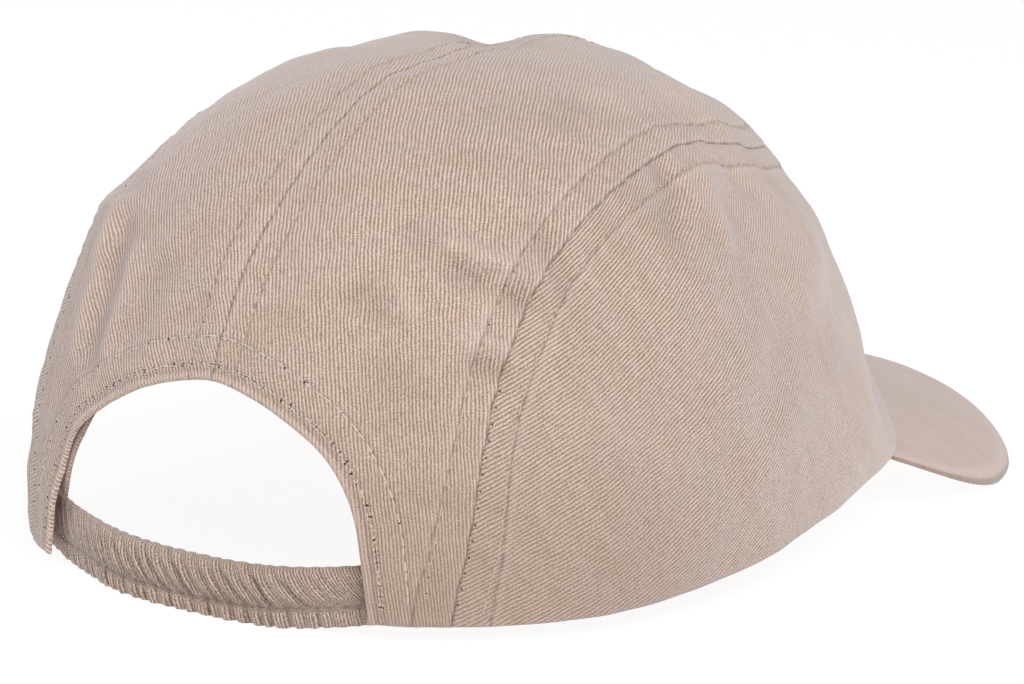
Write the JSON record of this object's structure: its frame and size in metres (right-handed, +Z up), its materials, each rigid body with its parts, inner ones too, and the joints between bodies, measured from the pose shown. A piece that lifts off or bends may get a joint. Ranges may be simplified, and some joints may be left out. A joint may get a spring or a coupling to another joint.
{
  "type": "sports cap",
  "caption": "Unstructured cloth sports cap with a curved peak, a wrap-around front panel and a gathered elastic strap across an open back arch.",
  "frame": {"origin": "on the surface the cap rests on, under the middle of the cap's box", "axes": "+Z up, +Y towards the back of the cap, -Y along the peak, -X to the wearer's right"},
  "size_m": [0.158, 0.2674, 0.1019],
  "materials": {
    "crown_twill": "washed beige cotton twill, matt, with fine diagonal ridges",
    "peak_twill": "washed beige cotton twill over a flexible board, matt",
    "strap_twill": "washed beige cotton twill gathered over elastic, matt",
    "facing_twill": "washed beige cotton twill hem, matt"
  },
  "bodies": {
    "root": {"front_panel": "crown_twill", "back_panel_left": "crown_twill", "back_panel_right": "crown_twill", "peak": "peak_twill", "back_strap": "strap_twill", "arch_facing": "facing_twill"}
  },
  "joints": []
}
